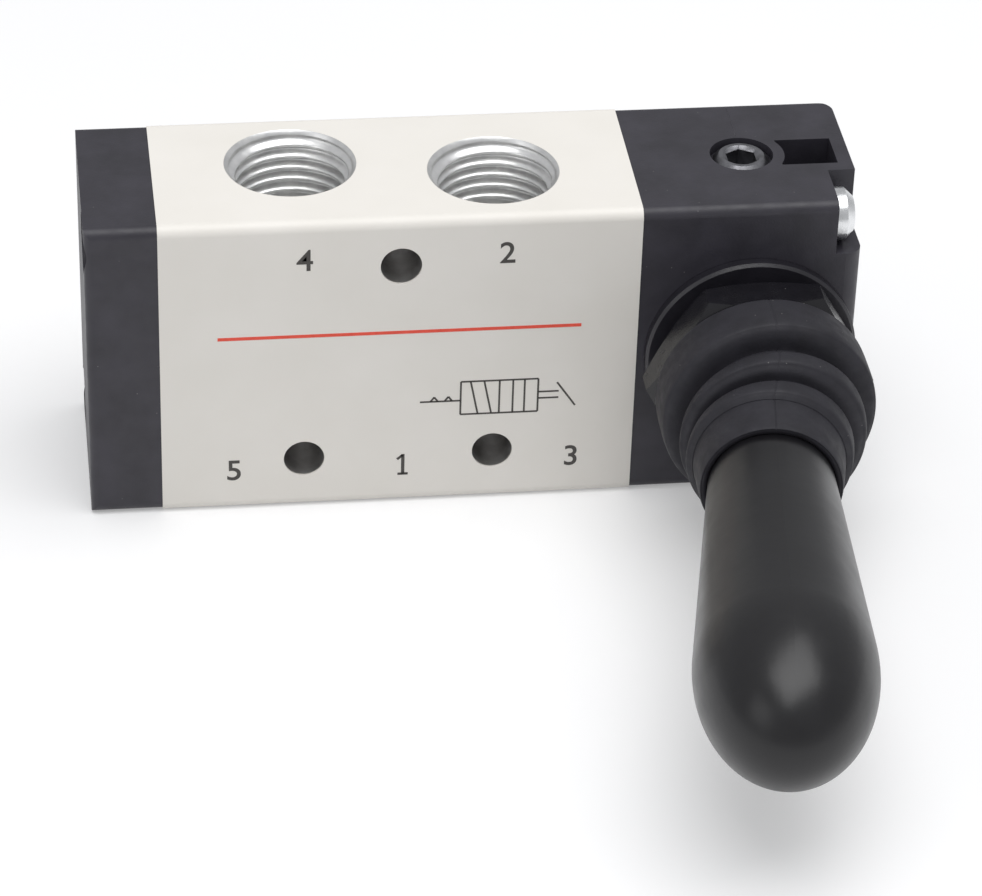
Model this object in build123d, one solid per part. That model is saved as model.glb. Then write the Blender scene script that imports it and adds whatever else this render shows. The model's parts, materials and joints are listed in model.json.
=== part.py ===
from build123d import *
import math
import os

# A hand lever air valve: a five-port, two-position spool valve with a hand lever and a detent.
# X runs along the spool, from the plain end cap to the lever housing.
# The lever sticks out towards -Y. Z points up, from the supply port's face to the outlet ports.
# The origin is the centre of the supply port's mouth, in the middle of the bottom face.

# Valve body
body_length = 50.0
body_width = 22.0
body_height = 35.0
edge_radius = 1.1

# How far a cutter runs past the face that it opens
cut_past = 1.0

# Spool bore and the ring-shaped chambers that join it to the ports
bore_radius = 6.0
bore_height = body_height / 2
chamber_pitch = 8.0
chamber_width = 3.0
chamber_depth = 1.2

# Ports: pipe threads G1/4 (outlets and supply) and G1/8 (exhausts), cut to the thread's outer size
quarter_port_radius = 6.58
quarter_port_floor = 0.9
eighth_port_radius = 4.86
eighth_port_floor = 1.9
port_lead_in = 0.35
outlet_port_offset = 10.5
outlet_port_stagger = 1.5
exhaust_port_offset = 18.2
port_drill_radius = 1.4
port_drill_overlap = 0.6

# Holes that hold the valve, right through the body's width
mounting_hole_radius = 2.15
upper_hole_inset = 5.5
lower_hole_height = 6.1
lower_hole_offset = 10.0

# End cap and lever housing
cap_length = 7.5
cap_inset = 0.1
cap_corner_radius = 0.8
spool_room_depth = 3.2
spool_room_margin = 0.5
housing_length = 23.4
housing_corner_radius = 1.8
housing_taper = 0.7
housing_end_wall = 1.4
lever_offset = 12.0

# M3 screws that hold the cap and the housing, at two opposite corners
screw_radius = 1.45
screw_tap_radius = 1.5
screw_hole_radius = 1.7
screw_grip = 8.0
screw_tip_room = 0.8
screw_tip_chamfer = 0.45
screw_side_inset = 3.5
screw_height_inset = 3.3
screw_head_radius = 2.8
screw_head_height = 2.1
screw_head_sink = 2.9
screw_head_room = 0.4
screw_dome_radius = 0.9
cross_recess_width = 0.7
cross_recess_reach = 1.5
cross_recess_depth = 1.1
notch_width = 7.0
notch_height = 6.2

# Seal rings in the cap's and the housing's joint faces
face_seal_radius = 8.4
face_seal_section = 0.75
seal_groove_clearance = 0.04
face_seal_gap = 0.01

# Spool
spool_clearance = 0.08
spool_stem_radius = 3.6
spool_land_width = 2.9
seal_section = 0.9
seal_groove_radius = 4.16
seal_clearance = 0.03
spool_end_length = 1.1
spool_socket_radius = 2.5

# Lever motion
rest_tilt = 7.5
pivot_distance = 20.5

# Yoke: the sliding rod that the lever pushes
yoke_radius = 5.0
yoke_clearance = 0.08
lever_window_clearance = 0.3
yoke_end_room = 1.0
yoke_slot_clearance = 0.06
yoke_slot_floor = 0.4
yoke_tail_clearance = 0.04
yoke_tail_length = 8.0
yoke_pin_radius = 0.75
yoke_pin_clearance = 0.02

# Detent: ball, spring and hollow-headed set screw above the yoke
ball_radius = 1.75
detent_groove_depth = 0.35
ball_clearance = 0.05
detent_hole_clearance = 0.08
spring_wire_radius = 0.25
spring_turns = 4
spring_seat_gap = 0.03
spring_room = 3.35
set_screw_radius = 3.0
set_screw_sink = 1.1
set_screw_chamfer = 0.6
hex_key_width = 3.0
set_screw_floor = 2.0
set_screw_recess_radius = 3.35
set_screw_fit = 0.02

# Pocket moulded beside the set screw
pocket_length = 5.9
pocket_width = 5.1
pocket_depth = 7.0
pocket_wall = 1.2

# Lever bush: flange, threaded neck and the lip that holds the rubber boot
flange_radius = 11.2
flange_thickness = 1.2
flange_edge = 0.3
neck_radius = 8.0
neck_bore_radius = 5.3
neck_length = 12.7
spigot_radius = 7.4
spigot_length = 3.0
boot_groove_radius = 7.0
boot_groove_width = 0.8
neck_lip_radius = 7.6
neck_lip_width = 0.7

# Panel nut
nut_width = 20.8
nut_thickness = 4.75
panel_gap = 2.05
nut_fit = 0.03
nut_chamfer_angle = 30.0
nut_face_share = 0.97

# Pivot pin and lever rod
pivot_pin_radius = 1.5
pivot_pin_fit = 0.01
pivot_clearance = 0.05
pivot_pin_inset = 0.4
hub_radius = 4.7
tip_radius = 2.5
shank_radius = 1.8
rod_radius = 3.0
rod_length = 34.0

# Handle and its threaded insert
handle_start = 11.2
handle_length = 60.7
handle_root_radius = 6.08
handle_cone_end = 45.0
handle_widest_radius = 8.8
handle_end_pull = 0.56
handle_tip_pull = 0.6
handle_throat_depth = 2.4
handle_throat_radius = 4.4
insert_radius = 4.2
rod_past_insert = 4.4
insert_fit = 0.02
rod_tip_room = 1.5

# Rubber boot
boot_wall = 0.9
boot_cuff_radius = 11.2
boot_cuff_length = 4.3
boot_cuff_roll = 1.2
boot_seat_gap = 0.05
boot_ring_radii = (9.6, 8.5)
boot_groove_radii = (8.6, 7.9)
boot_groove_leads = (1.0, 1.8)
boot_ring_pitch = 4.1
boot_crest_round = 0.5
boot_crest_drop = 0.2
boot_collar_lead = 1.3
boot_collar_radius = 7.75
boot_collar_length = 4.4
boot_mouth_radius = 7.25
boot_mouth_gap = 0.25

# Positions that follow from the sizes above
face_x = body_length / 2
front_y = -body_width / 2
lever_x = face_x + lever_offset
cap_end_x = -face_x - cap_length
housing_end_x = face_x + housing_length
half_stroke = pivot_distance * math.sin(math.radians(rest_tilt))
stroke = 2 * half_stroke
screw_floor_x = housing_end_x - screw_head_sink
pivot = (lever_x, -pivot_distance, bore_height)
screw_side = body_width / 2 - screw_side_inset
screw_corners = ((-screw_side, body_height - screw_height_inset), (screw_side, screw_height_inset))
port_room = bore_height - bore_radius - chamber_depth
quarter_port_depth = port_room - quarter_port_floor
eighth_port_depth = port_room - eighth_port_floor

# Frames: the spool's axis along +X, and the bush's axis along -Y from the spool's axis
spool_frame = Plane(origin=(0, 0, bore_height), x_dir=(0, 1, 0), z_dir=(1, 0, 0))
bush_frame = Plane(origin=(lever_x, 0, bore_height), x_dir=(0, 0, 1), z_dir=(0, -1, 0))
detent_frame = Plane(origin=(lever_x, 0, bore_height), x_dir=(1, 0, 0), z_dir=(0, 0, 1))


def tilted_frame(tilt):
    """The frame at the pivot whose z axis points out along a lever tilted by this many degrees."""
    angle = math.radians(tilt)
    outwards = (-math.sin(angle), -math.cos(angle), 0)
    return Plane(origin=pivot, x_dir=(0, 0, 1), z_dir=outwards)


lever_frame = tilted_frame(rest_tilt)


def turned(points):
    """A solid turned about Z from its (radius, height) corners."""
    return revolve(Plane.XZ * make_face(Polyline(*points, close=True)), Axis.Z)


def rod(radius, start, end):
    """A round rod along Z between two heights."""
    return Pos(0, 0, start) * Cylinder(radius, end - start, align=(Align.CENTER, Align.CENTER, Align.MIN))


def seal_ring(radius, section):
    """A seal ring about Z, with the radius of its middle line and of its section."""
    return Torus(radius, section)


def group(pieces):
    """Separate solids that share one node."""
    return Compound(children=[Compound(children=piece.solids()) for piece in pieces])


def threaded_port(x, y, radius, depth, chamber_x, top):
    """The cutter for a port in the top or the bottom face, with its drilling into a chamber."""
    chamber_radius = bore_radius + chamber_depth
    inner_z = chamber_radius - port_drill_overlap
    if top:
        outer_z = body_height - bore_height
    else:
        outer_z = bore_height
    lead_in_radius = radius + port_lead_in
    mouth = turned(
        [
            (0, outer_z - depth),
            (radius, outer_z - depth),
            (radius, outer_z - port_lead_in),
            (lead_in_radius, outer_z),
            (lead_in_radius, outer_z + port_lead_in),
            (0, outer_z + port_lead_in),
        ]
    )
    drill = rod(port_drill_radius, inner_z, outer_z - depth / 2)
    cutter = Pos(x, y, 0) * mouth + Pos(chamber_x, 0, 0) * drill
    if not top:
        cutter = Rot(180, 0, 0) * cutter
    return Pos(0, 0, bore_height) * cutter


def port_cutters():
    """All five ports: two outlets on top, and supply and two exhausts below."""
    cutters = [threaded_port(0, 0, quarter_port_radius, quarter_port_depth, 0, False)]
    for side in (-1, 1):
        cutters.append(
            threaded_port(
                side * outlet_port_offset,
                -side * outlet_port_stagger,
                quarter_port_radius,
                quarter_port_depth,
                side * chamber_pitch,
                True,
            )
        )
        cutters.append(
            threaded_port(
                side * exhaust_port_offset,
                0,
                eighth_port_radius,
                eighth_port_depth,
                side * 2 * chamber_pitch,
                False,
            )
        )
    return cutters


def mounting_hole_cutters():
    """The three through holes that hold the valve to a plate or a wall."""
    hole = Rot(90, 0, 0) * Cylinder(mounting_hole_radius, body_width + 2 * cut_past)
    cutters = [Pos(0, 0, body_height - upper_hole_inset) * hole]
    for side in (-1, 1):
        cutters.append(Pos(side * lower_hole_offset, 0, lower_hole_height) * hole)
    return cutters


def screw_places(frame_x):
    """Locations of the two corner screws on a plane across X, with their z axis along +X."""
    places = []
    for side, height in screw_corners:
        places.append(Pos(frame_x, side, height) * Rot(0, 90, 0))
    return places


def valve_body():
    section = Plane.YZ * RectangleRounded(body_width, body_height, edge_radius)
    body = Pos(0, 0, body_height / 2) * extrude(section, amount=face_x, both=True)
    bore = spool_frame * rod(bore_radius, -face_x - cut_past, face_x + cut_past)
    chambers = []
    for station in range(-2, 3):
        middle = station * chamber_pitch
        cut = rod(bore_radius + chamber_depth, middle - chamber_width / 2, middle + chamber_width / 2)
        chambers.append(spool_frame * cut)
    tap_depth = screw_grip + screw_tip_room
    taps = [place * rod(screw_tap_radius, -tap_depth, cut_past) for place in screw_places(face_x)]
    taps += [place * rod(screw_tap_radius, -cut_past, tap_depth) for place in screw_places(-face_x)]
    return body - [bore] - chambers - port_cutters() - mounting_hole_cutters() - taps


def end_block(start_x, end_x, corner_radius, taper_from_x, taper):
    """A moulded block on an end of the body: the body's section, rounded in plan at its outer end."""
    half_width = body_width / 2 - cap_inset
    plan = make_face(
        Polyline(
            (start_x, -half_width),
            (end_x, -half_width),
            (end_x, half_width - taper),
            (taper_from_x, half_width),
            (start_x, half_width),
            close=True,
        )
    )
    outer_side = plan.vertices().sort_by(Axis.X)
    outer_corners = outer_side[-2:] if end_x > start_x else outer_side[:2]
    plan = fillet(outer_corners, corner_radius)
    section_height = body_height - 2 * cap_inset
    section = Plane.YZ * RectangleRounded(2 * half_width, section_height, edge_radius)
    middle = Pos((start_x + end_x) / 2, 0, body_height / 2)
    bar = middle * extrude(section, amount=abs(end_x - start_x) / 2, both=True)
    return bar & extrude(plan, amount=body_height)


def face_seal_seat(facing):
    """The cutter for a seal's round seat in a joint face; facing is +1 or -1, the way the seat goes in."""
    radius = face_seal_radius + face_seal_section + seal_groove_clearance
    depth = 2 * face_seal_section
    start, end = sorted((facing * (face_x - cut_past), facing * (face_x + depth)))
    return spool_frame * rod(radius, start, end)


def face_seal(facing):
    place = facing * (face_x + face_seal_section)
    ring = seal_ring(face_seal_radius, face_seal_section - face_seal_gap)
    return spool_frame * Pos(0, 0, place) * ring


def spool_room(facing):
    """The space in an end piece that the spool's end moves into."""
    radius = bore_radius + spool_room_margin
    start, end = sorted((facing * (face_x - cut_past), facing * (face_x + spool_room_depth)))
    return spool_frame * rod(radius, start, end)


def end_cap():
    block = end_block(-face_x, cap_end_x, cap_corner_radius, -face_x - cap_length / 2, 0)
    holes = []
    for place in screw_places(cap_end_x):
        holes.append(place * rod(screw_hole_radius, -cut_past, cap_length + cut_past))
        holes.append(place * rod(screw_head_radius + screw_head_room, -cut_past, screw_head_sink))
    return block - [spool_room(-1), face_seal_seat(-1)] - holes


def pan_head_screw(length):
    """A pan head screw with a cross recess; its head rests on z = 0 and its shank points down."""
    head_top = screw_head_height
    head = turned(
        [
            (0, -length),
            (screw_radius - screw_tip_chamfer, -length),
            (screw_radius, -length + screw_tip_chamfer),
            (screw_radius, 0),
            (screw_head_radius, 0),
            (screw_head_radius, head_top - screw_dome_radius),
            (screw_head_radius - screw_dome_radius, head_top),
            (0, head_top),
        ]
    )
    arm = Box(2 * cross_recess_reach, cross_recess_width, 2 * cross_recess_depth)
    cross = Pos(0, 0, head_top) * (arm + Rot(0, 0, 90) * arm)
    return head - cross


def end_cap_screws():
    length = cap_length - screw_head_sink + screw_grip
    screw = Rot(180, 0, 0) * pan_head_screw(length)
    return group([place * screw for place in screw_places(cap_end_x + screw_head_sink)])


def housing_screws():
    screw = pan_head_screw(screw_floor_x - face_x + screw_grip)
    return group([place * screw for place in screw_places(screw_floor_x)])


def screw_notch():
    """The cutter for the notch round the upper front screw's head."""
    size = (screw_head_sink + cut_past, notch_width + cut_past, notch_height + cut_past)
    corner = Box(*size, align=(Align.MIN, Align.MAX, Align.MIN))
    return Pos(screw_floor_x, front_y + notch_width, body_height - notch_height) * corner


def moulded_pocket():
    """The cutter for the pocket beside the set screw, whose near end leaves a round wall."""
    start_x = lever_x + set_screw_recess_radius + pocket_wall / 2
    size = (pocket_length, pocket_width, pocket_depth + cut_past)
    pocket = Box(*size, align=(Align.MIN, Align.CENTER, Align.MAX))
    pocket = Pos(start_x, 0, body_height + cut_past) * pocket
    boss = detent_frame * rod(set_screw_recess_radius + pocket_wall, 0, body_height)
    return pocket - boss


def detent_hole():
    """The cutter for the ball and spring, the set screw's thread and the recess on top."""
    top_z = body_height - bore_height
    ball_hole_radius = ball_radius + detent_hole_clearance
    screw_end_z = set_screw_bottom()
    recess_z = set_screw_top()
    cutter = turned(
        [
            (0, 0),
            (ball_hole_radius, 0),
            (ball_hole_radius, screw_end_z),
            (set_screw_radius + set_screw_fit, screw_end_z),
            (set_screw_radius + set_screw_fit, recess_z),
            (set_screw_recess_radius, recess_z),
            (set_screw_recess_radius, top_z + cut_past),
            (0, top_z + cut_past),
        ]
    )
    return detent_frame * cutter


def lever_housing():
    block = end_block(face_x, housing_end_x, housing_corner_radius, lever_x, housing_taper)
    bore_end = housing_end_x - housing_end_wall
    yoke_bore = spool_frame * rod(yoke_radius + yoke_clearance, face_x - cut_past, bore_end)
    window_radius = half_stroke + tip_radius + lever_window_clearance
    window = bush_frame * rod(window_radius, 0, -front_y)
    socket = bush_frame * rod(spigot_radius, -front_y - spigot_length, -front_y + cut_past)
    notch = screw_notch()
    half_turn = Pos(0, 0, bore_height) * Rot(180, 0, 0) * Pos(0, 0, -bore_height)
    screw_holes = []
    for place in screw_places(face_x):
        screw_holes.append(place * rod(screw_hole_radius, -cut_past, housing_length))
    cutters = [yoke_bore, window, socket, notch, half_turn * notch, moulded_pocket(), detent_hole()]
    return block - cutters - [spool_room(1), face_seal_seat(1)] - screw_holes


def spool_seal_places():
    """Mid-stroke places of the six seals along the spool."""
    end_place = face_x - seal_section - half_stroke
    outer_place = 1.5 * chamber_pitch + half_stroke
    centre_place = 0.5 * chamber_pitch - half_stroke
    return (-end_place, -outer_place, -centre_place, centre_place, outer_place, end_place)


def spool_half_length():
    return max(spool_seal_places()) + spool_end_length


def spool():
    """The spool at rest, pushed towards the lever housing."""
    half_length = spool_half_length()
    solid = rod(spool_stem_radius, -half_length, half_length)
    for place in spool_seal_places():
        land = rod(bore_radius - spool_clearance, place - spool_land_width / 2, place + spool_land_width / 2)
        solid += land
    for place in spool_seal_places():
        groove_half = seal_section + seal_groove_clearance
        groove = rod(bore_radius + cut_past, place - groove_half, place + groove_half)
        solid -= groove - rod(seal_groove_radius, place - 2 * groove_half, place + 2 * groove_half)
    solid &= rod(bore_radius, -half_length, half_length)
    solid -= rod(spool_socket_radius, half_length - yoke_tail_length, half_length + cut_past)
    solid -= Pos(0, 0, yoke_pin_place()) * yoke_pin_hole()
    return spool_frame * Pos(0, 0, half_stroke) * solid


def spool_seals():
    ring = seal_ring(bore_radius - seal_clearance - seal_section, seal_section)
    return group([spool_frame * Pos(0, 0, half_stroke + place) * ring for place in spool_seal_places()])


def yoke_pin_place():
    """Mid-stroke place of the pin, halfway between the spool's last two seals."""
    places = spool_seal_places()
    return (places[-1] + places[-2]) / 2


def yoke_pin_hole():
    """The cutter for the pin, across the spool and the yoke's tail."""
    return Rot(0, 90, 0) * Cylinder(yoke_pin_radius + yoke_pin_clearance, 2 * bore_radius)


def yoke_pin():
    pin = Rot(0, 90, 0) * Cylinder(yoke_pin_radius, 2 * spool_stem_radius)
    return spool_frame * Pos(0, 0, half_stroke + yoke_pin_place()) * pin


def spool_yoke():
    """The yoke at rest, with a slot for the lever's tip and two detent grooves."""
    spool_end = half_stroke + spool_half_length()
    yoke_end = housing_end_x - housing_end_wall - yoke_end_room
    tail_radius = spool_socket_radius - yoke_tail_clearance
    solid = rod(tail_radius, spool_end - yoke_tail_length + yoke_tail_clearance, spool_end + cut_past)
    solid += rod(yoke_radius, spool_end, yoke_end)
    slot_x = lever_x + half_stroke
    slot_width = 2 * (tip_radius + yoke_slot_clearance)
    slot_depth = yoke_radius + tip_radius + yoke_slot_floor
    slot = Box(slot_width, slot_depth, slot_width, align=(Align.CENTER, Align.MIN, Align.CENTER))
    groove_ring_radius = yoke_radius - detent_groove_depth + ball_radius
    groove = seal_ring(groove_ring_radius, ball_radius)
    solid -= Pos(0, 0, half_stroke + yoke_pin_place()) * yoke_pin_hole()
    solid -= Pos(0, 0, lever_x) * groove
    solid -= Pos(0, 0, lever_x + stroke) * groove
    return spool_frame * solid - Pos(slot_x, -yoke_radius, bore_height) * slot


def ball_centre_height():
    """Height of the detent ball above the spool's axis: it just clears the yoke between its grooves."""
    return yoke_radius + ball_clearance + ball_radius


def detent_ball():
    return detent_frame * Pos(0, 0, ball_centre_height()) * Sphere(ball_radius)


def set_screw_bottom():
    """Height of the set screw's lower end above the spool's axis: the spring's room above the ball."""
    return ball_centre_height() + ball_radius + spring_room


def set_screw_top():
    return body_height - bore_height - cap_inset - set_screw_sink


def detent_spring():
    bottom = ball_centre_height() + ball_radius + spring_seat_gap + spring_wire_radius
    top = set_screw_bottom() - spring_seat_gap - spring_wire_radius
    radius = ball_radius - spring_wire_radius
    coil = Helix(pitch=(top - bottom) / spring_turns, height=top - bottom, radius=radius)
    start = coil @ 0
    section = Plane(origin=start, x_dir=(1, 0, 0), z_dir=coil % 0) * Circle(spring_wire_radius)
    return detent_frame * Pos(0, 0, bottom) * sweep(section, path=coil)


def detent_screw():
    bottom = set_screw_bottom()
    top = set_screw_top()
    hex_key_depth = top - bottom - set_screw_floor
    body = turned(
        [
            (0, bottom),
            (set_screw_radius - set_screw_chamfer, bottom),
            (set_screw_radius, bottom + set_screw_chamfer),
            (set_screw_radius, top - set_screw_chamfer),
            (set_screw_radius - set_screw_chamfer, top),
            (0, top),
        ]
    )
    key = Pos(0, 0, top - hex_key_depth) * RegularPolygon(hex_key_width / 2, 6, major_radius=False)
    return detent_frame * (body - extrude(key, amount=hex_key_depth + cut_past))


def neck_end():
    return -front_y + neck_length


def lever_bush():
    """Flange, threaded neck and boot lip in one piece, turned about the lever opening's axis."""
    face = -front_y
    lip_start = neck_end() - neck_lip_width
    groove_start = lip_start - boot_groove_width
    solid = turned(
        [
            (neck_bore_radius, face - spigot_length),
            (spigot_radius, face - spigot_length),
            (spigot_radius, face),
            (flange_radius, face),
            (flange_radius, face + flange_thickness - flange_edge),
            (flange_radius - flange_edge, face + flange_thickness),
            (neck_radius, face + flange_thickness),
            (neck_radius, groove_start),
            (boot_groove_radius, groove_start),
            (boot_groove_radius, lip_start),
            (neck_lip_radius, lip_start),
            (neck_lip_radius, neck_end()),
            (neck_bore_radius, neck_end()),
        ]
    )
    pin_hole = Rot(0, 90, 0) * Cylinder(pivot_pin_radius + pivot_pin_fit, 2 * flange_radius)
    return bush_frame * (solid - Pos(0, 0, pivot_distance) * pin_hole)


def nut_back():
    return -front_y + flange_thickness + panel_gap


def nut_front():
    return nut_back() + nut_thickness


def panel_nut():
    """A hexagon nut with chamfered corners on both faces."""
    outline = Rot(0, 0, 30) * RegularPolygon(nut_width / 2, 6, major_radius=False)
    nut = Pos(0, 0, nut_back()) * extrude(outline, amount=nut_thickness)
    corner_radius = nut_width / math.sqrt(3)
    face_radius = nut_width / 2 * nut_face_share
    slope = math.tan(math.radians(nut_chamfer_angle))
    drop = (corner_radius - face_radius) * slope
    envelope = turned(
        [
            (0, nut_back()),
            (face_radius, nut_back()),
            (corner_radius, nut_back() + drop),
            (corner_radius, nut_front() - drop),
            (face_radius, nut_front()),
            (0, nut_front()),
        ]
    )
    bore = rod(neck_radius + nut_fit, nut_back() - cut_past, nut_front() + cut_past)
    return bush_frame * ((nut & envelope) - bore)


def pivot_pin():
    length = 2 * (neck_radius - pivot_pin_inset)
    pin = Rot(0, 90, 0) * Cylinder(pivot_pin_radius, length)
    return bush_frame * Pos(0, 0, pivot_distance) * pin


def lever_rod():
    """The steel rod: ball tip in the yoke, hub on the pin, and the end that the handle is on."""
    solid = Pos(0, 0, -pivot_distance) * Sphere(tip_radius)
    solid += rod(shank_radius, -pivot_distance, 0)
    solid += Sphere(hub_radius)
    solid += rod(rod_radius, 0, rod_length)
    solid -= Rot(0, 90, 0) * Cylinder(pivot_pin_radius + pivot_clearance, 2 * (hub_radius + cut_past))
    return lever_frame * solid


def handle_slope():
    """How much the handle's radius grows per unit of its cone's length."""
    return (handle_widest_radius - handle_root_radius) / (handle_cone_end - handle_start)


def handle_outline():
    """Half of the handle's section: a slim cone that runs into a rounded end."""
    slope = handle_slope()
    end_length = handle_length - handle_cone_end
    reach = handle_end_pull * end_length
    cone = Line((handle_root_radius, handle_start), (handle_widest_radius, handle_cone_end))
    dome = Bezier(
        (handle_widest_radius, handle_cone_end),
        (handle_widest_radius + slope * reach, handle_cone_end + reach),
        (handle_widest_radius * handle_tip_pull, handle_length),
        (0, handle_length),
    )
    axis = Line((0, handle_length), (0, handle_start))
    root = Line((0, handle_start), (handle_root_radius, handle_start))
    return make_face(cone + dome + axis + root)


def lever_handle():
    solid = revolve(Plane.XZ * handle_outline(), Axis.Z)
    throat_end = handle_start + handle_throat_depth
    insert_end = rod_length - rod_past_insert
    rod_room = rod(rod_radius + insert_fit, handle_start, rod_length + rod_tip_room)
    solid -= rod(handle_throat_radius, handle_start - cut_past, throat_end)
    solid -= rod(insert_radius, throat_end - cut_past, insert_end)
    return lever_frame * (solid - rod_room)


def handle_insert():
    start = handle_start + handle_throat_depth
    end = rod_length - rod_past_insert
    insert = rod(insert_radius, start, end)
    bore = rod(rod_radius + insert_fit, start - cut_past, end + cut_past)
    return lever_frame * (insert - bore)


def boot_cuff_end():
    """Distance from the pivot to the front face of the boot's cuff."""
    return nut_front() + boot_seat_gap + boot_cuff_length - pivot_distance


def boot_sections():
    """(distance from the pivot, outer radius) of each section of the boot beyond its cuff."""
    sections = []
    place = boot_cuff_end()
    for radius, groove_radius, lead in zip(boot_ring_radii, boot_groove_radii, boot_groove_leads):
        crest = place + boot_ring_pitch
        sections.append((place + lead, groove_radius))
        sections.append((crest - boot_crest_round, radius - boot_crest_drop))
        sections.append((crest, radius))
        sections.append((crest + boot_crest_round, radius - boot_crest_drop))
        place = crest
    collar_start = place + boot_collar_lead
    sections.append((collar_start, boot_collar_radius))
    sections.append((collar_start + boot_collar_length, boot_mouth_radius))
    return sections


def boot_tilt(distance):
    """How far the boot leans at this distance from the pivot: not at the cuff, fully at the collar."""
    collar = boot_sections()[-2][0]
    share = min(1.0, max(0.0, (distance - boot_cuff_end()) / (collar - boot_cuff_end())))
    return rest_tilt * share * share * (3 - 2 * share)


def boot_loft(sections):
    """A ruled loft through circles that lean more and more with the lever."""
    circles = []
    for distance, radius in sections:
        circles.append(tilted_frame(boot_tilt(distance)) * Pos(0, 0, distance) * Circle(radius))
    return loft(circles, ruled=True)


def boot_seat():
    """The cutter for the boot's mouth on the neck: the thread's outside, the bead's groove and the lip."""
    back = nut_front() - pivot_distance
    tip = neck_end() - pivot_distance
    lip_start = tip - neck_lip_width
    groove_start = lip_start - boot_groove_width
    return turned(
        [
            (0, back - cut_past),
            (neck_radius + boot_seat_gap, back - cut_past),
            (neck_radius + boot_seat_gap, groove_start + boot_seat_gap),
            (boot_groove_radius + boot_seat_gap, groove_start + boot_seat_gap),
            (boot_groove_radius + boot_seat_gap, lip_start - boot_seat_gap),
            (neck_lip_radius + boot_seat_gap, lip_start - boot_seat_gap),
            (neck_lip_radius + boot_seat_gap, tip + boot_seat_gap),
            (0, tip + boot_seat_gap),
        ]
    )


def rubber_boot():
    """Bellows between the neck and the handle, leaning with the lever at rest."""
    cuff_end = boot_cuff_end()
    outer = boot_sections()
    roll_middle = boot_cuff_roll * (1 - math.sqrt(0.5))
    skin = [
        (cuff_end - boot_cuff_length, boot_cuff_radius),
        (cuff_end - boot_cuff_roll, boot_cuff_radius),
        (cuff_end - roll_middle, boot_cuff_radius - roll_middle),
        (cuff_end, boot_cuff_radius - boot_cuff_roll),
    ] + outer
    hollow_start = neck_end() - pivot_distance - neck_lip_width
    hollow = [(hollow_start, outer[0][1] - boot_wall)]
    for distance, radius in outer[:-1]:
        if distance > hollow_start:
            hollow.append((distance, radius - boot_wall))
    mouth_distance = outer[-1][0]
    mouth_bore = handle_root_radius + handle_slope() * (mouth_distance - handle_start) + boot_mouth_gap
    hollow[-1] = (hollow[-1][0], mouth_bore)
    hollow.append((mouth_distance + cut_past, mouth_bore))
    return boot_loft(skin) - [boot_loft(hollow), tilted_frame(0) * boot_seat()]


parts = {
    "valve_body": valve_body,
    "end_cap": end_cap,
    "end_cap_seal": lambda: face_seal(-1),
    "end_cap_screws": end_cap_screws,
    "lever_housing": lever_housing,
    "housing_seal": lambda: face_seal(1),
    "housing_screws": housing_screws,
    "spool": spool,
    "spool_seals": spool_seals,
    "spool_yoke": spool_yoke,
    "yoke_pin": yoke_pin,
    "detent_ball": detent_ball,
    "detent_spring": detent_spring,
    "detent_screw": detent_screw,
    "lever_bush": lever_bush,
    "panel_nut": panel_nut,
    "pivot_pin": pivot_pin,
    "lever_rod": lever_rod,
    "handle_insert": handle_insert,
    "lever_handle": lever_handle,
    "rubber_boot": rubber_boot,
}

os.makedirs("parts", exist_ok=True)
for name, make in parts.items():
    export_step(make(), f"parts/{name}.step")
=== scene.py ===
import json
import math

import bpy
from mathutils import Matrix, Vector


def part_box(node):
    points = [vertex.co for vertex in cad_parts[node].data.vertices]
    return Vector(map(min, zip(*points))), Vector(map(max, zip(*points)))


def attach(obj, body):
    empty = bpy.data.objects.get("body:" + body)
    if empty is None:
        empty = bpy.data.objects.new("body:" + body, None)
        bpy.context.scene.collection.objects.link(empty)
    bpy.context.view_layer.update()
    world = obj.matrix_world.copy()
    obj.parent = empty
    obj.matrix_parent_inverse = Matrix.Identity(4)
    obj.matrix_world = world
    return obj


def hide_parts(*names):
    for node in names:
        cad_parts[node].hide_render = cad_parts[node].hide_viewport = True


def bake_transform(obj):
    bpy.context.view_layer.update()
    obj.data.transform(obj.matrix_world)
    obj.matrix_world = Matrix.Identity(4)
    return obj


# The looks of the hand lever air valve, in metres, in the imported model's own frame.

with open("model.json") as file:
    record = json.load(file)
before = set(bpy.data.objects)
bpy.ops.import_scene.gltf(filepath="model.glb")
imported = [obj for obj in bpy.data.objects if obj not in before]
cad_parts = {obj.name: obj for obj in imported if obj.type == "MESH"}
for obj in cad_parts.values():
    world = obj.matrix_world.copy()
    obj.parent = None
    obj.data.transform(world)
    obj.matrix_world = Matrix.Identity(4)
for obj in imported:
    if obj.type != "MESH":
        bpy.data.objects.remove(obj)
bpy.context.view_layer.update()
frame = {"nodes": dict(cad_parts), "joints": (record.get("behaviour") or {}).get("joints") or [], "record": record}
nodes = frame["nodes"]
mounts = {mount["name"]: mount for mount in frame["record"]["mounts"]}
MM = 0.001

# Places taken from the frame
body_low, body_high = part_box("valve_body")
nut_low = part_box("panel_nut")[0]
bush_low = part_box("lever_bush")[0]
housing_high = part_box("lever_housing")[1]
lever_joint = [joint for joint in frame["joints"] if joint["name"] == "lever_swing"][0]
PIVOT = Vector(lever_joint["pos_m"])
REST_TILT = math.radians(lever_joint["range_deg"][1]) / 2
FRONT_Y = body_low[1]

# Camera: the angle, roll and distance at which the valve is seen
CAMERA_AZIMUTH = math.radians(-7.91)
CAMERA_ELEVATION = math.radians(34.20)
CAMERA_ROLL = math.radians(1.88)
CAMERA_DISTANCE = 0.4540
CAMERA_TARGET = Vector((0.01143, 0.0, -0.00118))
SENSOR_WIDTH = 36.0
CAMERA_LENS = 152.06

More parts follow.
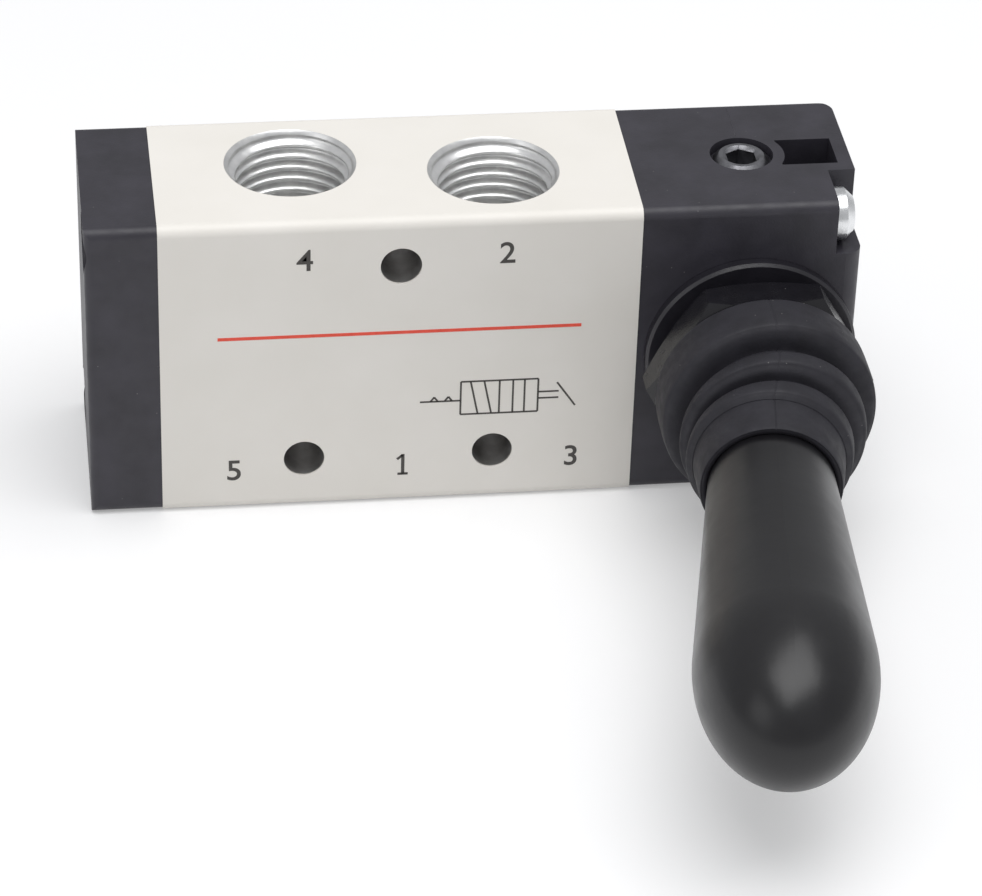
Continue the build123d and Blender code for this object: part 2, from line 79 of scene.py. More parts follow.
# Port threads: parallel pipe thread, 19 ridges to the inch
THREAD_PITCH = 25.4 / 19 * MM
THREAD_DEPTH = 0.856 * MM
LINER_GAP = 0.03 * MM
PORT_LEAD_IN = 0.35 * MM
DRILL_RADIUS = 1.4 * MM
HOLE_LINER_INSET = 0.25 * MM
RING_STEPS = 128
STEPS_PER_PITCH = 12

# Marks printed on the front face
INK_HEIGHT = 0.02 * MM
DIGIT_HEIGHT = 2.5 * MM
DIGIT_WEIGHT = 0.03 * MM
DIGIT_SHARE_OF_SIZE = 0.7
UPPER_MARKS_Z = 30.5 * MM
LOWER_MARKS_Z = 4.85 * MM
SUPPLY_MARK_X = 0.5 * MM
ONE_STROKE = 0.36 * MM
ONE_THIN_STROKE = 0.8 * ONE_STROKE
ONE_FLAG = 0.62 * MM
ONE_FLAG_DROP = 0.1 * MM
ONE_FOOT_HALF = 0.55 * MM
RULE_Z = 21.45 * MM
RULE_LENGTH = 38.0 * MM
RULE_WIDTH = 0.38 * MM
SYMBOL_CENTRE = (10.6 * MM, 12.9 * MM)
SYMBOL_CELL = 4.1 * MM
SYMBOL_LINE = 0.20 * MM
SYMBOL_ROD_HALF = 0.4 * MM
SYMBOL_ROD_LENGTH = 2.2 * MM
SYMBOL_LEVER_START = 2.0 * MM
SYMBOL_LEVER_END = 4.0 * MM
SYMBOL_LEVER_HALF = 1.5 * MM
SYMBOL_DETENT_LENGTH = 4.3 * MM
SYMBOL_DETENT_DROP = 0.3 * MM
SYMBOL_NOTCH_START = 3.2 * MM
SYMBOL_NOTCH_PITCH = 1.5 * MM
SYMBOL_NOTCH_HALF = 0.4 * MM
SYMBOL_NOTCH_WIDTH = 0.8 * MM
SYMBOL_NOTCH_TOP = 0.25 * MM

# Rubber boot, from the nut to the handle
BOOT_SEAT_GAP = 0.05 * MM
BOOT_SEAT_EDGE = 0.15 * MM
BOOT_SEAT_EDGE_LENGTH = 0.2 * MM
BOOT_WALL = 0.9 * MM
BOOT_RING_STEPS = 256
BOOT_CUFF_RADIUS = 11.2 * MM
BOOT_CUFF_LENGTH = 5.1 * MM
BOOT_CUFF_ROLL = 1.2 * MM
BOOT_CUFF_POINTS = 5
BOOT_COLLAR_POINTS = 3
# Each ring's crest radius, the radius of the groove behind it and that groove's length.
BOOT_RINGS = ((9.6 * MM, 8.5 * MM, 1.5 * MM), (8.5 * MM, 7.7 * MM, 0.7 * MM))
BOOT_GROOVE_START = 0.12 * MM
BOOT_GROOVE_FLAT = 0.35 * MM
BOOT_RING_RISE = 1.0 * MM
BOOT_RING_CREST = 1.25 * MM
BOOT_RING_ROLL = 0.75 * MM
BOOT_COLLAR_RADIUS = 7.75 * MM
BOOT_COLLAR_LENGTH = 4.2 * MM
BOOT_MOUTH_RADIUS = 7.25 * MM
BOOT_MOUTH_EDGE = 0.4 * MM
BOOT_MOUTH_ROUND = 0.25 * MM
BOOT_MOUTH_FLARE = 0.05 * MM
BOOT_MOUTH_BORE = 6.56 * MM
BOOT_MOUTH_GRIP = 1.5 * MM
HANDLE_SLOPE = 0.0805
MOULD_LINE_DEPTH = 0.06 * MM
MOULD_LINE_WIDTH = 0.008

# Set screw on top of the housing, with its hexagon socket
SCREW_RADIUS = 3.0 * MM
SCREW_SINK = 0.12 * MM
SCREW_CHAMFER = 0.6 * MM
SOCKET_APOTHEM = 1.5 * MM
SOCKET_MOUTH = 2.0 * MM
SOCKET_LEAD = 0.3 * MM
SOCKET_DEPTH = 2.4 * MM

# Line left by the mould on the housing's top, from the back edge to the set screw's hole
SEAM_WIDTH = 0.16 * MM
SEAM_HEIGHT = 0.035 * MM
RECESS_RADIUS = 3.35 * MM
SEAM_RECESS_GAP = 0.1 * MM
SEAM_EDGE_GAP = 1.1 * MM

# Floor and light
FLOOR_SIZE = 4.0
FLOOR_DROP = 0.05 * MM
FLOOR_GLOW = 0.28
WORLD_STRENGTH = 0.50
LIGHT_TARGET = (0.01, -0.02, 0.015)
OVERHEAD_PLACE = (0.06, -0.12, 0.60)
OVERHEAD_SIZE = (0.60, 0.45)
OVERHEAD_POWER = 2.5
FILL_PLACE = (-0.55, -0.35, 0.35)
FILL_SIZE = (0.35, 0.35)
FILL_POWER = 0.35


# Materials

class Surface:
    """A Principled material whose colour, roughness and bump vary in the object's own coordinates."""

    def __init__(self, name, roughness, metallic=0.0, coat=0.0, specular=0.5):
        self.material = bpy.data.materials.new(name)
        self.material.use_nodes = True
        self.nodes = self.material.node_tree.nodes
        self.links = self.material.node_tree.links
        self.shader = self.nodes["Principled BSDF"]
        self.shader.inputs["Roughness"].default_value = roughness
        self.shader.inputs["Metallic"].default_value = metallic
        self.shader.inputs["Coat Weight"].default_value = coat
        self.shader.inputs["Specular IOR Level"].default_value = specular
        self.place = self.nodes.new("ShaderNodeTexCoord").outputs["Object"]
        self.normal = None

    def stretched(self, scale):
        mapping = self.nodes.new("ShaderNodeMapping")
        mapping.inputs["Scale"].default_value = scale
        self.links.new(self.place, mapping.inputs["Vector"])
        return mapping.outputs["Vector"]

    def noise(self, size, detail=2.0, stretch=(1, 1, 1)):
        """Noise whose spots are about this many metres across."""
        node = self.nodes.new("ShaderNodeTexNoise")
        node.inputs["Scale"].default_value = 1 / size
        node.inputs["Detail"].default_value = detail
        self.links.new(self.stretched(stretch), node.inputs["Vector"])
        return node.outputs["Fac"]

    def ranged(self, value, low, high, start=0.3, end=0.7):
        node = self.nodes.new("ShaderNodeMapRange")
        node.inputs["From Min"].default_value = start
        node.inputs["From Max"].default_value = end
        node.inputs["To Min"].default_value = low
        node.inputs["To Max"].default_value = high
        self.links.new(value, node.inputs["Value"])
        return node.outputs["Result"]

    def mixed(self, share, low, high):
        node = self.nodes.new("ShaderNodeMix")
        node.data_type = "RGBA"
        for socket, colour in ((node.inputs[6], low), (node.inputs[7], high)):
            if isinstance(colour, bpy.types.NodeSocket):
                self.links.new(colour, socket)
            else:
                socket.default_value = (*colour, 1)
        self.links.new(share, node.inputs[0])
        return node.outputs[2]

    def colour(self, low, high, size, detail=3.0, stretch=(1, 1, 1)):
        share = self.ranged(self.noise(size, detail, stretch), 0, 1)
        self.links.new(self.mixed(share, low, high), self.shader.inputs["Base Color"])

    def dust(self, spacing, reach):
        """Pale specks, one in some of the cells this far apart; reach is a speck's share of its cell."""
        cells = self.nodes.new("ShaderNodeTexVoronoi")
        cells.inputs["Scale"].default_value = 1 / spacing
        self.links.new(self.place, cells.inputs["Vector"])
        near = self.ranged(cells.outputs["Distance"], 1, 0, 0.6 * reach, reach)
        some = self.nodes.new("ShaderNodeMath")
        some.operation = "MULTIPLY"
        chosen = self.ranged(cells.outputs["Color"], 0, 0.5, 0.58, 0.60)
        self.links.new(near, some.inputs[0])
        self.links.new(chosen, some.inputs[1])
        base = self.shader.inputs["Base Color"]
        under = base.links[0].from_socket
        self.links.new(self.mixed(some.outputs["Value"], under, (0.32, 0.31, 0.30)), base)

    def roughness(self, low, high, size, detail=3.0, stretch=(1, 1, 1)):
        value = self.ranged(self.noise(size, detail, stretch), low, high)
        self.links.new(value, self.shader.inputs["Roughness"])

    def bump(self, size, depth, detail=2.0, stretch=(1, 1, 1)):
        """Adds bumps of this size and depth, in metres, to those already there."""
        node = self.nodes.new("ShaderNodeBump")
        node.inputs["Distance"].default_value = depth
        self.links.new(self.noise(size, detail, stretch), node.inputs["Height"])
        if self.normal:
            self.links.new(self.normal, node.inputs["Normal"])
        self.normal = node.outputs["Normal"]
        self.links.new(self.normal, self.shader.inputs["Normal"])


def body_paint():
    """Satin coating, a little uneven, over extruded aluminium."""
    surface = Surface("body_paint", 0.42, specular=0.45)
    surface.colour((0.83, 0.80, 0.745), (0.86, 0.83, 0.78), 9 * MM)
    surface.roughness(0.38, 0.48, 5 * MM)
    surface.bump(0.35 * MM, 0.006 * MM)
    return surface.material


def moulded_plastic(name, tone, roughness):
    """Black moulded plastic with a fine spark-eroded grain."""
    surface = Surface(name, roughness, specular=0.5)
    surface.colour(tuple(0.8 * v for v in tone), tuple(1.2 * v for v in tone), 4 * MM)
    surface.dust(1.3 * MM, 0.05)
    surface.roughness(roughness - 0.05, roughness + 0.06, 1.5 * MM)
    surface.bump(0.22 * MM, 0.012 * MM)
    surface.bump(2.5 * MM, 0.02 * MM)
    return surface.material


def handle_plastic():
    """Dipped black plastic with a satin shine and slow waves."""
    surface = Surface("handle_plastic", 0.33, specular=0.5)
    surface.colour((0.006, 0.0056, 0.0068), (0.009, 0.0086, 0.0102), 6 * MM)
    surface.roughness(0.30, 0.36, 3 * MM)
    surface.bump(5 * MM, 0.03 * MM)
    surface.bump(0.5 * MM, 0.003 * MM)
    return surface.material


def boot_rubber():
    """Matte black rubber with a dusty bloom."""
    surface = Surface("boot_rubber", 0.62, specular=0.4)
    surface.colour((0.015, 0.0142, 0.019), (0.023, 0.022, 0.029), 2.5 * MM, 6.0)
    surface.dust(0.9 * MM, 0.07)
    surface.roughness(0.55, 0.72, 1.2 * MM)
    surface.bump(0.3 * MM, 0.015 * MM)
    return surface.material


def metal(name, low, high, roughness, stretch=(1, 1, 1), grain=0.25 * MM):
    """Bare or plated metal with marks from its making."""
    surface = Surface(name, roughness, metallic=1.0)
    surface.colour(low, high, 1.2 * MM)
    surface.roughness(roughness - 0.06, roughness + 0.10, 0.8 * MM, 4.0, stretch)
    surface.bump(grain, 0.006 * MM, 3.0, stretch)
    return surface.material


def ink(name, colour):
    """Printed ink, slightly thin in places."""
    surface = Surface(name, 0.5, specular=0.4)
    surface.colour(colour, tuple(min(1.0, 1.12 * v + 0.01) for v in colour), 0.6 * MM, 5.0)
    surface.bump(0.15 * MM, 0.004 * MM)
    return surface.material


materials = {
    "body_paint": body_paint(),
    "housing_plastic": moulded_plastic("housing_plastic", (0.030, 0.028, 0.037), 0.46),
    "nut_black": moulded_plastic("nut_black", (0.0075, 0.0070, 0.0095), 0.22),
    "bush_black": moulded_plastic("bush_black", (0.016, 0.015, 0.020), 0.34),
    "seal_rubber": boot_rubber(),
    "handle_plastic": handle_plastic(),
    "plated_steel": metal("plated_steel", (0.72, 0.73, 0.74), (0.84, 0.85, 0.86), 0.26),
    "spring_steel": metal("spring_steel", (0.50, 0.51, 0.53), (0.62, 0.63, 0.65), 0.22),
    "black_steel": metal("black_steel", (0.16, 0.16, 0.17), (0.26, 0.26, 0.28), 0.34),
    "bare_aluminium": metal("bare_aluminium", (0.84, 0.84, 0.84), (0.92, 0.92, 0.91), 0.26, (1, 1, 8)),
    "cut_thread": metal("cut_thread", (0.78, 0.78, 0.78), (0.90, 0.90, 0.89), 0.34, (1, 1, 3), 0.6 * MM),
    "bored_hole": metal("bored_hole", (0.56, 0.55, 0.54), (0.68, 0.67, 0.66), 0.45, (1, 6, 1)),
    "yoke_brass": metal("yoke_brass", (0.66, 0.50, 0.22), (0.78, 0.60, 0.28), 0.28),
    "insert_brass": metal("insert_brass", (0.66, 0.50, 0.22), (0.78, 0.60, 0.28), 0.30),
}
materials["boot_rubber"] = materials["seal_rubber"]
INK_GREY = ink("ink_grey", (0.060, 0.055, 0.050))
INK_RED = ink("ink_red", (0.80, 0.085, 0.050))


def dress_cad_nodes():
    """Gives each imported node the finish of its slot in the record."""
    for subpart in frame["record"]["subparts"]:
        node = nodes[subpart["node"]]
        node.data.materials.clear()
        node.data.materials.append(materials[subpart["material_slot"]])


# Meshes

def grid_mesh(name, rings, closed_ends=False):
    """A mesh through rings of points, each ring closed, one after another."""
    count = len(rings[0])
    vertices = [point for ring in rings for point in ring]
    faces = []
    for row in range(len(rings) - 1):
        for column in range(count):
            following = (column + 1) % count
            low = row * count
            high = low + count
            faces.append((low + column, low + following, high + following, high + column))
    if closed_ends:
        faces.append(tuple(reversed(range(count))))
        faces.append(tuple(range(len(vertices) - count, len(vertices))))
    mesh = bpy.data.meshes.new(name)
    mesh.from_pydata(vertices, [], faces)
    mesh.polygons.foreach_set("use_smooth", [True] * len(faces))
    return mesh


def add_piece(name, mesh, material, body):
    piece = bpy.data.objects.new(name, mesh)
    bpy.context.scene.collection.objects.link(piece)
    mesh.materials.append(material)
    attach(piece, body)
    return piece


def ring_points(radius_at, height_at):
    """A ring about Z whose radius and height may vary with the angle."""
    points = []
    for step in range(RING_STEPS):
        angle = 2 * math.pi * step / RING_STEPS
        radius = radius_at(angle)
        points.append((radius * math.cos(angle), radius * math.sin(angle), height_at(angle)))
    return points


def thread_height(turns):
    """0 at a thread's root and 1 at its crest, rounded, after this many turns."""
    return 0.5 - 0.5 * math.cos(2 * math.pi * turns)


def port_liner(mount):
    """The bare metal inside a port, from its mouth to its floor: lead-in, thread ridges and drilling."""
    wall_radius = mount["dims"]["r_mm"] * MM - LINER_GAP
    length = mount["dims"]["length_mm"] * MM
    mouth = PORT_LEAD_IN
    rings = [ring_points(lambda a: wall_radius + PORT_LEAD_IN, lambda a: mouth)]
    rows = round(length / THREAD_PITCH * STEPS_PER_PITCH)
    for row in range(rows + 1):
        depth = (length - LINER_GAP) * row / rows
        fade = min(1.0, depth / THREAD_PITCH)

        def radius_at(angle, depth=depth, fade=fade):
            turns = depth / THREAD_PITCH - angle / (2 * math.pi)
            return wall_radius - THREAD_DEPTH * fade * thread_height(turns)

        rings.append(ring_points(radius_at, lambda a, depth=depth: -depth))
    rings.append(ring_points(lambda a: DRILL_RADIUS, lambda a: LINER_GAP - length))
    return rings


def hole_liners():
    """The bare bored wall of the three mounting holes, just inside the paint."""
    upper = mounts["upper_mounting_hole"]
    lower = mounts["lower_mounting_holes"]
    half = lower["dims"]["spacing_x_mm"] * MM / 2
    places = {"upper_hole_wall": Vector(upper["pos_m"])}
    for name, side in (("lower_hole_wall_left", -half), ("lower_hole_wall_right", half)):
        places[name] = Vector(lower["pos_m"]) + Vector((side, 0, 0))
    radius = upper["dims"]["r_mm"] * MM - LINER_GAP
    for name, place in places.items():
        ends = (body_high[1] - HOLE_LINER_INSET, body_low[1] + HOLE_LINER_INSET)
        rings = [ring_points(lambda a: radius, lambda a, y=y: y) for y in ends]
        mesh = grid_mesh(name, rings)
        mesh.transform(Matrix.Translation((place.x, 0, place.z)) @ Matrix.Rotation(-math.pi / 2, 4, "X"))
        add_piece(name, mesh, materials["bored_hole"], "valve")


def place_on_mount(mesh, mount):
    """Moves a mesh made about Z so that Z follows the mount's axis from the straight wall's start."""
    axis = Vector(mount["axis"])
    turn = Vector((0, 0, 1)).rotation_difference(axis).to_matrix().to_4x4()
    face = body_high[2] if axis.z > 0 else body_low[2]
    start = Vector((mount["pos_m"][0], mount["pos_m"][1], face)) - axis * PORT_LEAD_IN
    mesh.transform(Matrix.Translation(start) @ turn)


def port_threads():
    for name, mount in mounts.items():
        if mount["kind"] != "threaded_hole":
            continue
        mesh = grid_mesh(name + "_thread", port_liner(mount))
        place_on_mount(mesh, mount)
        add_piece(name + "_thread", mesh, materials["cut_thread"], "valve")


# Rubber boot

def smooth_profile(points, steps=8):
    """A Catmull-Rom curve through (distance, radius) points."""
    ends = [points[0]] + list(points) + [points[-1]]
    curve = []
    for index in range(len(points) - 1):
        before, start, end, after = [Vector(p) for p in ends[index : index + 4]]
        for step in range(steps):
            t = step / steps
            bend = 2 * start + (end - before) * t
            bend += (2 * before - 5 * start + 4 * end - after) * t**2
            bend += (3 * start - before - 3 * end + after) * t**3
            curve.append(tuple(bend / 2))
    curve.append(tuple(points[-1]))
    return curve


def boot_stations():
    """(distance from the pivot, radius) down the boot's outside, and where its rings and collar start."""
    back = -nut_low[1] - abs(PIVOT.y) + BOOT_SEAT_GAP
    cuff_end = back + BOOT_CUFF_LENGTH
    inset = BOOT_CUFF_ROLL * (1 - math.sqrt(0.5))
    points = [
        (back, BOOT_CUFF_RADIUS - BOOT_SEAT_EDGE),
        (back + BOOT_SEAT_EDGE_LENGTH, BOOT_CUFF_RADIUS),
        (cuff_end - BOOT_CUFF_ROLL, BOOT_CUFF_RADIUS),
        (cuff_end - inset, BOOT_CUFF_RADIUS - inset),
        (cuff_end, BOOT_CUFF_RADIUS - BOOT_CUFF_ROLL),
    ]
    place = cuff_end
    for crest_radius, groove_radius, groove_length in BOOT_RINGS:
        drop = crest_radius - groove_radius
        rise = place + groove_length
        crest = rise + BOOT_RING_RISE
        roll = crest + BOOT_RING_CREST
        points.append((place + BOOT_GROOVE_START, groove_radius))
        points.append((place + BOOT_GROOVE_FLAT, groove_radius))
        points.append((rise, groove_radius + 0.05 * drop))
        points.append((rise + 0.4 * BOOT_RING_RISE, crest_radius - 0.2 * drop))
        points.append((crest, crest_radius))
        points.append((roll, crest_radius))
        points.append((roll + 0.55 * BOOT_RING_ROLL, crest_radius - 0.35 * drop))
        place = roll + BOOT_RING_ROLL
        points.append((place, crest_radius - 0.85 * drop))
    collar = place + BOOT_GROOVE_START
    mouth = collar + BOOT_COLLAR_LENGTH
    points.append((collar, BOOT_COLLAR_RADIUS))
    points.append((mouth - BOOT_MOUTH_EDGE, BOOT_MOUTH_RADIUS + BOOT_MOUTH_FLARE))
    points.append((mouth, BOOT_MOUTH_RADIUS - BOOT_MOUTH_ROUND))
    return points, cuff_end, collar


def boot_angles():
    """Even steps round the boot, with finer ones across the mould line on top and underneath."""
    angles = [2 * math.pi * step / BOOT_RING_STEPS for step in range(BOOT_RING_STEPS)]
    for line in (math.pi / 2, 3 * math.pi / 2):
        angles += [line + MOULD_LINE_WIDTH * share for share in (-2, -1, -0.5, 0.5, 1, 2)]
    return sorted(angles)


def boot_ring(distance, radius, tilt, groove):
    """One ring of the boot, leaning by tilt, with the mould line's fine groove on top and underneath."""
    axis = Vector((-math.sin(tilt), -math.cos(tilt), 0))
    side = Vector((math.cos(tilt), -math.sin(tilt), 0))
    centre = PIVOT + axis * distance
    points = []
    for angle in boot_angles():
        away = min(abs(angle - math.pi / 2), abs(angle - 3 * math.pi / 2))
        reach = radius - groove * math.exp(-((away / MOULD_LINE_WIDTH) ** 2))
        points.append(centre + side * (reach * math.cos(angle)) + Vector((0, 0, reach * math.sin(angle))))
    return points


def rubber_boot():
    """A ringed boot with a real wall, which bends from the valve to the lever."""
    points, cuff_end, collar = boot_stations()

    def tilt_at(distance):
        share = min(1.0, max(0.0, (distance - cuff_end) / (collar - cuff_end)))
        return REST_TILT * share * share * (3 - 2 * share)

    outside = smooth_profile(points)
    rings = [boot_ring(d, r, tilt_at(d), MOULD_LINE_DEPTH) for d, r in outside]
    mouth = outside[-1][0]
    neck_tip = -bush_low[1] - abs(PIVOT.y)
    grip_bore = BOOT_MOUTH_BORE - HANDLE_SLOPE * BOOT_MOUTH_GRIP
    inside = [(mouth, BOOT_MOUTH_BORE), (mouth - BOOT_MOUTH_GRIP, grip_bore)]
    inside.append((collar, BOOT_COLLAR_RADIUS - BOOT_WALL))
    for distance, radius in reversed(points[BOOT_CUFF_POINTS:-BOOT_COLLAR_POINTS]):
        if distance > neck_tip:
            inside.append((distance, radius - BOOT_WALL))
    rings += [boot_ring(d, r, tilt_at(d), 0) for d, r in inside]
    mesh = grid_mesh("boot", rings)
    piece = bpy.data.objects.new("boot", mesh)
    bpy.context.scene.collection.objects.link(piece)
    mesh.materials.append(materials["boot_rubber"])
    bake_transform(piece)
    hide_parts("rubber_boot")


# Small details on the housing

def hexagon_radius(angle):
    sixth = math.pi / 3
    return SOCKET_APOTHEM / math.cos((angle + sixth / 2) % sixth - sixth / 2)


def detent_screw():
    """The set screw at the height it is seen, a little below the housing's top."""
    top = housing_high[2] - SCREW_SINK
    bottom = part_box("detent_screw")[0][2]
    inner = SCREW_RADIUS - SCREW_CHAMFER
    outline = [(inner, bottom), (SCREW_RADIUS, bottom + SCREW_CHAMFER)]
    outline += [(SCREW_RADIUS, top - SCREW_CHAMFER), (inner, top)]
    rings = [ring_points(lambda a, r=r: r, lambda a, z=z: z) for r, z in outline]
    rings.append(ring_points(lambda a: SOCKET_MOUTH, lambda a: top))
    rings.append(ring_points(hexagon_radius, lambda a: top - SOCKET_LEAD))
    rings.append(ring_points(hexagon_radius, lambda a: top - SOCKET_DEPTH))
    mesh = grid_mesh("detent_screw_top", rings, closed_ends=True)
    mesh.polygons.foreach_set("use_smooth", [False] * len(mesh.polygons))
    mesh.transform(Matrix.Translation((PIVOT.x, 0, 0)))
    piece = add_piece("detent_screw_top", mesh, materials["black_steel"], "valve")
    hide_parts("detent_screw")


def housing_seam():
    """The fine raised line left by the mould."""
    top = housing_high[2]
    rows = []
    for y in (RECESS_RADIUS + SEAM_RECESS_GAP, housing_high[1] - SEAM_EDGE_GAP):
        ring = [(-SEAM_WIDTH / 2, -SEAM_HEIGHT), (SEAM_WIDTH / 2, -SEAM_HEIGHT), (0, SEAM_HEIGHT)]
        rows.append([(PIVOT.x + x, y, top + z) for x, z in ring])
    mesh = grid_mesh("housing_seam", rows, closed_ends=True)
    add_piece("housing_seam", mesh, materials["housing_plastic"], "valve")


# Printed marks

def strip(start, end, width):
    """A flat bar between two (x, z) points on the front face, as a closed box one ink layer thick."""
    a, b = Vector(start), Vector(end)
    along = (b - a).normalized()
    side = Vector((-along.y, along.x)) * width / 2
    corners = [a - side, b - side, b + side, a + side]
    near = [(p.x, FRONT_Y - INK_HEIGHT, p.y) for p in corners]
    far = [(p.x, FRONT_Y + INK_HEIGHT, p.y) for p in corners]
    return near + far


def strips_mesh(name, bars):
    vertices = []
    faces = []
    sides = ((0, 1, 2, 3), (7, 6, 5, 4), (0, 4, 5, 1), (1, 5, 6, 2), (2, 6, 7, 3), (3, 7, 4, 0))
    for bar in bars:
        first = len(vertices)
        vertices += bar
        faces += [tuple(first + corner for corner in side) for side in sides]
    mesh = bpy.data.meshes.new(name)
    mesh.from_pydata(vertices, [], faces)
    return mesh


def port_number(name, text, x, z):
    """A plain port number printed on the front face."""
    curve = bpy.data.curves.new(name, "FONT")
    curve.body = text
    curve.size = DIGIT_HEIGHT / DIGIT_SHARE_OF_SIZE
    curve.align_x = "CENTER"
    curve.align_y = "CENTER"
    curve.extrude = INK_HEIGHT
    curve.offset = DIGIT_WEIGHT
    piece = bpy.data.objects.new(name, curve)
    piece.location = (x, FRONT_Y, z)
    piece.rotation_euler = (math.pi / 2, 0, 0)
    bpy.context.scene.collection.objects.link(piece)
    curve.materials.append(INK_GREY)
    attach(piece, "valve")


def number_one(x, z):
    """A 1 with a flag and a foot."""
    half = DIGIT_HEIGHT / 2
    bars = [((x, z - half), (x, z + half), ONE_STROKE)]
    flag_start = (x - ONE_FLAG, z + half - ONE_FLAG)
    bars.append((flag_start, (x, z + half - ONE_FLAG_DROP), ONE_THIN_STROKE))
    bars.append(((x - ONE_FOOT_HALF, z - half), (x + ONE_FOOT_HALF, z - half), ONE_THIN_STROKE))
    return [strip(start, end, bar_width) for start, end, bar_width in bars]


def valve_symbol():
    """A plain sign for a valve with two positions, with a lever on the right and a detent on the left."""
    cx, cz = SYMBOL_CENTRE
    cell = SYMBOL_CELL
    left, right = cx - cell, cx + cell
    low, high = cz - cell / 2, cz + cell / 2
    lines = [((left, low), (right, low)), ((left, high), (right, high))]
    for x in (left, cx, right):
        lines.append(((x, low), (x, high)))
    for share in (0.25, 0.6):
        lines.append(((left + cell * share, high), (left + cell * (share + 0.2), low)))
    for share in (0.35, 0.65):
        lines.append(((cx + cell * share, low), (cx + cell * share, high)))
    for height in (cz + SYMBOL_ROD_HALF, cz - SYMBOL_ROD_HALF):
        lines.append(((right, height), (right + SYMBOL_ROD_LENGTH, height)))
    lever_top = (right + SYMBOL_LEVER_START, cz + SYMBOL_LEVER_HALF)
    lines.append((lever_top, (right + SYMBOL_LEVER_END, cz - SYMBOL_LEVER_HALF)))
    base, top = cz - SYMBOL_DETENT_DROP, cz + SYMBOL_NOTCH_TOP
    lines.append(((left - SYMBOL_DETENT_LENGTH, base), (left, base)))
    for step in range(2):
        notch = left - SYMBOL_NOTCH_START + step * SYMBOL_NOTCH_PITCH
        tip = (notch + SYMBOL_NOTCH_HALF, top)
        lines.append(((notch, base), tip))
        lines.append((tip, (notch + SYMBOL_NOTCH_WIDTH, base)))
    return [strip(start, end, SYMBOL_LINE) for start, end in lines]


def printed_marks():
    rule = [strip((-RULE_LENGTH / 2, RULE_Z), (RULE_LENGTH / 2, RULE_Z), RULE_WIDTH)]
    add_piece("printed_rule", strips_mesh("printed_rule", rule), INK_RED, "valve")
    add_piece("printed_symbol", strips_mesh("printed_symbol", valve_symbol()), INK_GREY, "valve")
    port_number("mark_outlet_left", "4", -9.94 * MM, UPPER_MARKS_Z)
    port_number("mark_outlet_right", "2", 11.0 * MM, UPPER_MARKS_Z)
    port_number("mark_exhaust_left", "5", -17.4 * MM, LOWER_MARKS_Z)
    supply = number_one(SUPPLY_MARK_X, LOWER_MARKS_Z)
    add_piece("mark_supply", strips_mesh("mark_supply", supply), INK_GREY, "valve")
    port_number("mark_exhaust_right", "3", 18.5 * MM, LOWER_MARKS_Z)


# Stage

def set_camera():
    back = Vector(
        (
            math.sin(CAMERA_AZIMUTH) * math.cos(CAMERA_ELEVATION),
            -math.cos(CAMERA_AZIMUTH) * math.cos(CAMERA_ELEVATION),
            math.sin(CAMERA_ELEVATION),
        )
    )
    right = Vector((math.cos(CAMERA_AZIMUTH), math.sin(CAMERA_AZIMUTH), 0))
    up = back.cross(right)
    rolled_right = right * math.cos(CAMERA_ROLL) + up * math.sin(CAMERA_ROLL)
    rolled_up = up * math.cos(CAMERA_ROLL) - right * math.sin(CAMERA_ROLL)
    turn = Matrix((rolled_right, rolled_up, back)).transposed().to_4x4()
    data = bpy.data.cameras.new("camera")
    data.sensor_fit = "HORIZONTAL"
    data.sensor_width = SENSOR_WIDTH
    data.lens = CAMERA_LENS
    camera = bpy.data.objects.new("camera", data)
    camera.matrix_world = Matrix.Translation(CAMERA_TARGET + back * CAMERA_DISTANCE) @ turn
    bpy.context.scene.collection.objects.link(camera)
    bpy.context.scene.camera = camera


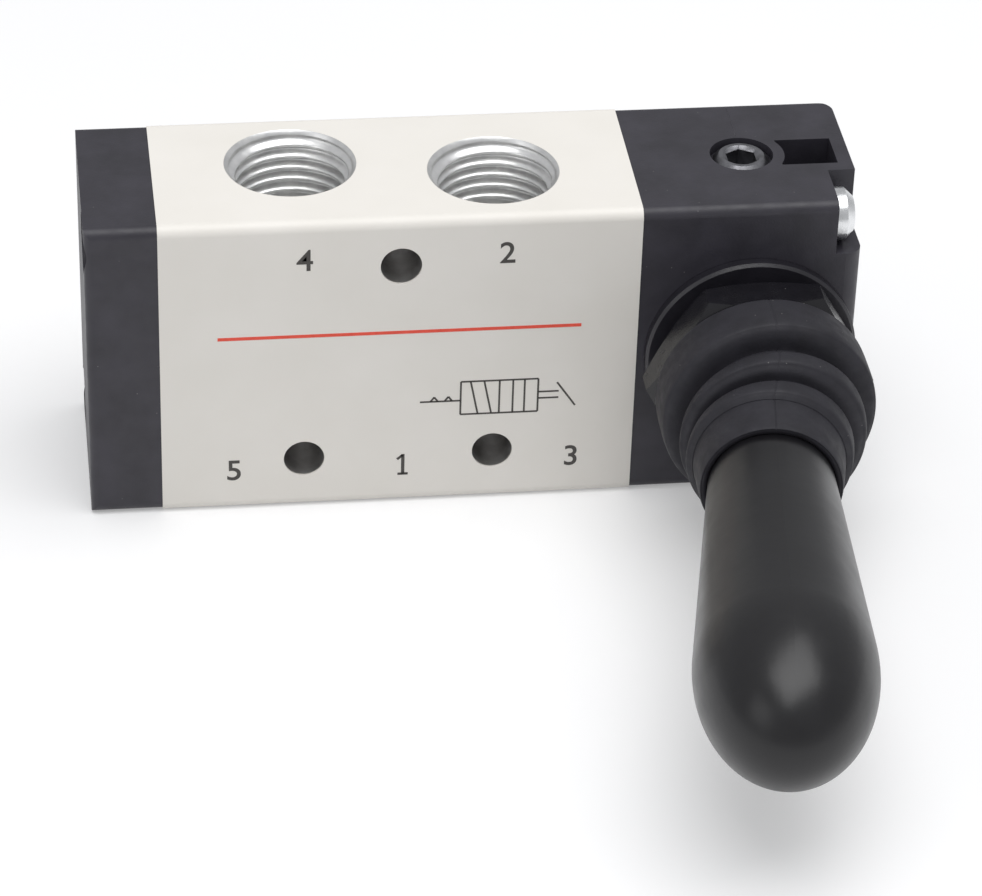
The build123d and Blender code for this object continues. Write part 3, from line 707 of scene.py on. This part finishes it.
def glow_where_seen(surface):
    """Adds light to the floor for the camera, for reflections and through glass, and none for the object."""
    rays = surface.nodes.new("ShaderNodeLightPath")
    seen = rays.outputs["Is Camera Ray"]
    for name in ("Is Glossy Ray", "Is Transmission Ray"):
        either = surface.nodes.new("ShaderNodeMath")
        either.operation = "MAXIMUM"
        surface.links.new(seen, either.inputs[0])
        surface.links.new(rays.outputs[name], either.inputs[1])
        seen = either.outputs["Value"]
    strength = surface.nodes.new("ShaderNodeMath")
    strength.operation = "MULTIPLY"
    strength.inputs[1].default_value = FLOOR_GLOW
    surface.links.new(seen, strength.inputs[0])
    glow = surface.nodes.new("ShaderNodeEmission")
    surface.links.new(strength.outputs["Value"], glow.inputs["Strength"])
    both = surface.nodes.new("ShaderNodeAddShader")
    surface.links.new(surface.shader.outputs["BSDF"], both.inputs[0])
    surface.links.new(glow.outputs["Emission"], both.inputs[1])
    surface.links.new(both.outputs["Shader"], surface.nodes["Material Output"].inputs["Surface"])


def set_floor():
    half = FLOOR_SIZE / 2
    mesh = bpy.data.meshes.new("floor")
    corners = [(-half, -half, 0), (half, -half, 0), (half, half, 0), (-half, half, 0)]
    mesh.from_pydata(corners, [], [(0, 1, 2, 3)])
    floor = bpy.data.objects.new("floor", mesh)
    floor.location = (0, 0, body_low[2] - FLOOR_DROP)
    bpy.context.scene.collection.objects.link(floor)
    surface = Surface("floor", 0.6, specular=0.2)
    surface.colour((0.73, 0.73, 0.735), (0.75, 0.75, 0.755), 0.3)
    glow_where_seen(surface)
    mesh.materials.append(surface.material)


def area_light(name, place, target, size, power):
    data = bpy.data.lights.new(name, "AREA")
    data.shape = "RECTANGLE"
    data.size, data.size_y = size
    data.energy = power
    lamp = bpy.data.objects.new(name, data)
    lamp.location = place
    lamp.rotation_euler = (Vector(target) - Vector(place)).to_track_quat("-Z", "Y").to_euler()
    bpy.context.scene.collection.objects.link(lamp)


def set_lights():
    world = bpy.data.worlds.new("world")
    world.use_nodes = True
    background = world.node_tree.nodes["Background"]
    background.inputs["Color"].default_value = (0.97, 0.98, 1.0, 1)
    background.inputs["Strength"].default_value = WORLD_STRENGTH
    bpy.context.scene.world = world
    area_light("overhead", OVERHEAD_PLACE, LIGHT_TARGET, OVERHEAD_SIZE, OVERHEAD_POWER)
    area_light("left_fill", FILL_PLACE, LIGHT_TARGET, FILL_SIZE, FILL_POWER)


dress_cad_nodes()
port_threads()
hole_liners()
rubber_boot()
detent_screw()
housing_seam()
printed_marks()
set_floor()
set_lights()
set_camera()
bpy.context.scene.view_settings.view_transform = "Standard"
